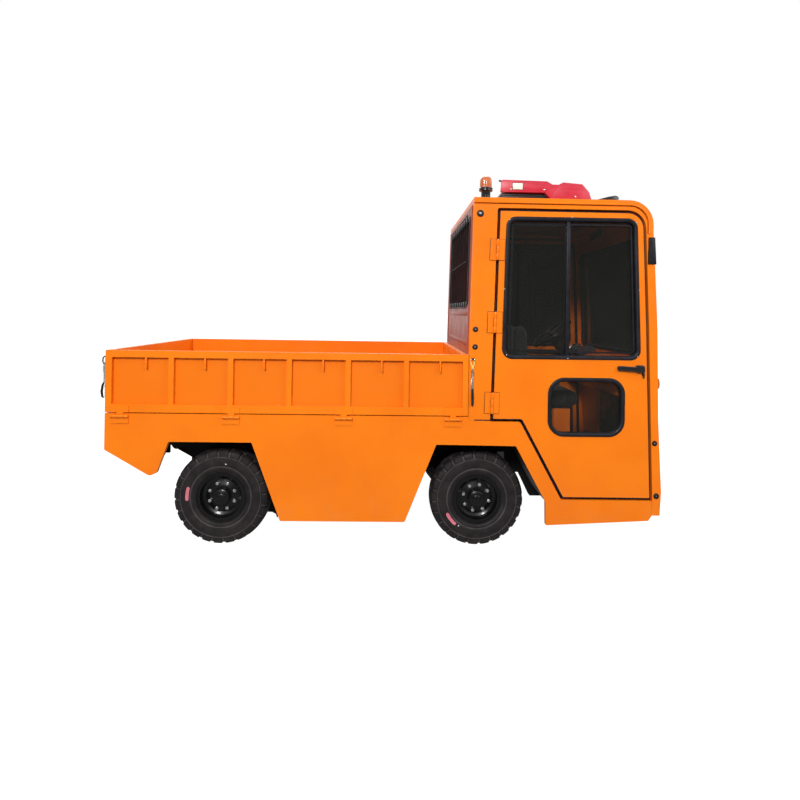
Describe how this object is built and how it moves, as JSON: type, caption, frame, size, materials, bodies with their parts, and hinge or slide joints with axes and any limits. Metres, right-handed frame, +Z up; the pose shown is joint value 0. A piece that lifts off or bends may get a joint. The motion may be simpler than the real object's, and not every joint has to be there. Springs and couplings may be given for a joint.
{
  "type": "electric platform tow tractor",
  "caption": "Electric platform tow tractor with a closed cab, hinged doors, a drop-side load bed, steered front wheels and a rear tow jaw.",
  "frame": {"origin": "on the ground under the centre of the overall box", "axes": "+X towards the front of the vehicle, +Y to its left, +Z up"},
  "size_m": [3.444, 1.492, 2.3814],
  "materials": {
    "orange_paint": "gloss orange paint on sheet steel",
    "black_metal": "satin black paint, road dust",
    "rim_paint": "gloss black enamel",
    "tyre": "black moulded rubber",
    "glass": "clear safety glass, lightly tinted",
    "seat_cover": "black woven seat cover",
    "black_plastic": "grained black plastic",
    "beacon_lens": "amber lens on a black collar",
    "red_cover": "glossy crimson moulded cover",
    "lamp_lens": "clear and red lamp lenses"
  },
  "bodies": {
    "chassis": {"chassis_frame": "black_metal", "bed_floor": "orange_paint", "headboard": "orange_paint", "skirt_right": "orange_paint", "skirt_left": "orange_paint", "rear_panel": "orange_paint", "tow_hitch": "black_metal", "front_axle": "black_metal", "leaf_springs": "black_metal", "drive_axle": "black_metal", "battery": "black_metal", "wheel_arch_guards": "black_metal", "cab_side_right": "orange_paint", "cab_side_left": "orange_paint", "cab_roof": "orange_paint", "cab_rear_wall": "orange_paint", "rear_window": "glass", "cab_front": "orange_paint", "windscreen": "glass", "cab_floor": "black_metal", "dashboard": "black_plastic", "seat_box": "black_plastic", "seat_cushions": "seat_cover", "seat_backs": "seat_cover", "steering_column": "black_metal", "pedals": "black_metal", "beacon": "beacon_lens", "roof_ac_unit": "red_cover", "lamps": "lamp_lens"},
    "door_right": {"right_door": "orange_paint", "right_door_glass": "glass"},
    "door_left": {"left_door": "orange_paint", "left_door_glass": "glass"},
    "drop_side_right": {"right_side_board": "orange_paint"},
    "drop_side_left": {"left_side_board": "orange_paint"},
    "tail_board": {"tailgate": "orange_paint"},
    "wheel_front_right": {"front_right_tyre": "tyre", "front_right_rim": "rim_paint"},
    "wheel_front_left": {"front_left_tyre": "tyre", "front_left_rim": "rim_paint"},
    "wheel_rear_right": {"rear_right_tyre": "tyre", "rear_right_rim": "rim_paint"},
    "wheel_rear_left": {"rear_left_tyre": "tyre", "rear_left_rim": "rim_paint"},
    "steer_right": {"right_knuckle": "black_metal"},
    "steer_left": {"left_knuckle": "black_metal"},
    "track_rod": {"tie_rod": "black_metal"},
    "hand_wheel": {"steering_wheel": "black_plastic"}
  },
  "joints": [
    {"name": "right_door_hinge", "type": "hinge", "parent": "chassis", "child": "door_right", "pos_m": [0.657, -0.737, 0.809], "axis": [-0.0215, 0, -0.9998], "range_deg": [0, 85]},
    {"name": "left_door_hinge", "type": "hinge", "parent": "chassis", "child": "door_left", "pos_m": [0.657, 0.737, 0.809], "axis": [0.0215, 0, 0.9998], "range_deg": [0, 85]},
    {"name": "right_side_hinge", "type": "hinge", "parent": "chassis", "child": "drop_side_right", "pos_m": [-0.5865, -0.737, 0.814], "axis": [1, 0, 0], "range_deg": [0, 170]},
    {"name": "left_side_hinge", "type": "hinge", "parent": "chassis", "child": "drop_side_left", "pos_m": [-0.5865, 0.737, 0.814], "axis": [-1, 0, 0], "range_deg": [0, 170]},
    {"name": "tailgate_hinge", "type": "hinge", "parent": "chassis", "child": "tail_board", "pos_m": [-1.698, 0, 0.814], "axis": [0, -1, 0], "range_deg": [0, 170]},
    {"name": "right_steer", "type": "hinge", "parent": "chassis", "child": "steer_right", "pos_m": [0.589, -0.455, 0.297], "axis": [0, 0, 1], "range_deg": [-28, 28]},
    {"name": "left_steer", "type": "hinge", "parent": "chassis", "child": "steer_left", "pos_m": [0.589, 0.455, 0.297], "axis": [0, 0, 1], "range_deg": [-28, 28]},
    {"name": "track_rod_slide", "type": "slide", "parent": "chassis", "child": "track_rod", "axis": [0, 1, 0], "range_m": [-0.0735, 0.0735]},
    {"name": "steering_wheel_spin", "type": "hinge", "parent": "chassis", "child": "hand_wheel", "pos_m": [1.308, 0.3, 1.316], "axis": [-0.6018, 0, 0.7986], "range_deg": [-395, 395]},
    {"name": "front_right_wheel_spin", "type": "hinge", "parent": "steer_right", "child": "wheel_front_right", "pos_m": [0.589, -0.552, 0.297], "axis": [0, 1, 0], "continuous": true},
    {"name": "rear_right_wheel_spin", "type": "hinge", "parent": "chassis", "child": "wheel_rear_right", "pos_m": [-1.01, -0.552, 0.297], "axis": [0, 1, 0], "continuous": true},
    {"name": "front_left_wheel_spin", "type": "hinge", "parent": "steer_left", "child": "wheel_front_left", "pos_m": [0.589, 0.552, 0.297], "axis": [0, 1, 0], "continuous": true},
    {"name": "rear_left_wheel_spin", "type": "hinge", "parent": "chassis", "child": "wheel_rear_left", "pos_m": [-1.01, 0.552, 0.297], "axis": [0, 1, 0], "continuous": true}
  ],
  "couplings": [
    {"joint": "left_steer", "follows": "right_steer", "ratio": 1},
    {"joint": "track_rod_slide", "follows": "right_steer", "m_per_rad": -0.1475},
    {"joint": "steering_wheel_spin", "follows": "right_steer", "ratio": 14}
  ]
}
